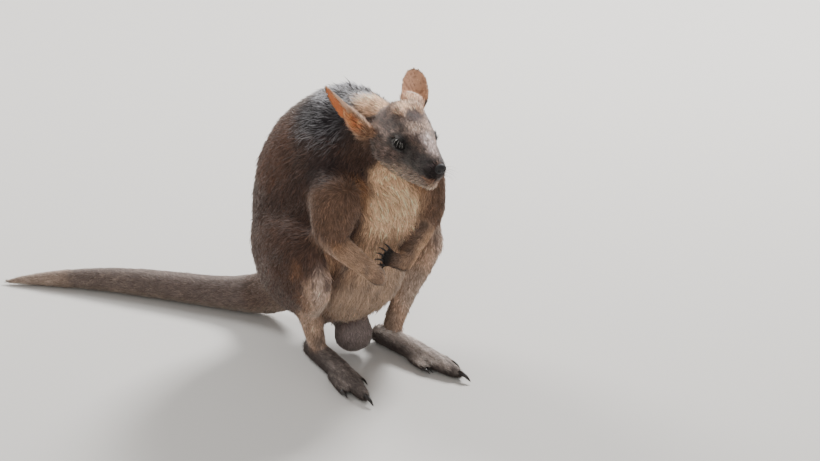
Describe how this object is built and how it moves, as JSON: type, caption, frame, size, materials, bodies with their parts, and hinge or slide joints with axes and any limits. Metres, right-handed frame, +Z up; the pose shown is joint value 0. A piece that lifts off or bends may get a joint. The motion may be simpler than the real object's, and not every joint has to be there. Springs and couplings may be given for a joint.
{
  "type": "parma wallaby, adult male, sitting up",
  "caption": "Adult male parma wallaby sitting up on its hind feet, hands held over its belly, head turned a little to its right and tail laid along the ground. A still, life-size model.",
  "frame": {"origin": "on the ground under the middle of the animal's box", "axes": "+Z up; the animal faces -Y, with its tail toward +Y and its left side on +X"},
  "size_m": [0.317, 0.5913, 0.3653],
  "materials": {
    "back_fur": "soft dense fur",
    "flank_fur": "soft dense fur",
    "head_fur": "short close fur",
    "throat_fur": "pale soft fur",
    "ear_skin": "thin ears with fine short hair",
    "arm_fur": "short fur",
    "foot_fur": "short coarse fur",
    "tail_fur": "short close fur",
    "hand_fur": "short dark fur",
    "claw_horn": "smooth dark horn",
    "nose_skin": "bare damp skin",
    "eye": "wet and dark"
  },
  "bodies": {
    "root": {"ear_left": "ear_skin", "ear_right": "ear_skin", "eye_left": "eye", "eye_right": "eye", "fifth_toe_claw_left": "claw_horn", "fifth_toe_claw_right": "claw_horn", "finger_claw_1_left": "claw_horn", "finger_claw_1_right": "claw_horn", "finger_claw_2_left": "claw_horn", "finger_claw_2_right": "claw_horn", "finger_claw_3_left": "claw_horn", "finger_claw_3_right": "claw_horn", "finger_claw_4_left": "claw_horn", "finger_claw_4_right": "claw_horn", "finger_claw_5_left": "claw_horn", "finger_claw_5_right": "claw_horn", "forearm_left": "arm_fur", "forearm_right": "arm_fur", "fourth_toe_claw_left": "claw_horn", "fourth_toe_claw_right": "claw_horn", "hand_left": "hand_fur", "hand_right": "hand_fur", "head": "head_fur", "hind_foot_left": "foot_fur", "hind_foot_right": "foot_fur", "lower_jaw": "throat_fur", "neck": "flank_fur", "nose_pad": "nose_skin", "scrotum": "foot_fur", "second_toe_claw_left": "claw_horn", "second_toe_claw_right": "claw_horn", "shank_left": "flank_fur", "shank_right": "flank_fur", "tail_lower": "tail_fur", "tail_root": "tail_fur", "tail_tip": "tail_fur", "tail_upper": "tail_fur", "thigh_left": "flank_fur", "thigh_right": "flank_fur", "third_toe_claw_left": "claw_horn", "third_toe_claw_right": "claw_horn", "trunk": "back_fur", "upper_arm_left": "arm_fur", "upper_arm_right": "arm_fur"}
  },
  "joints": []
}
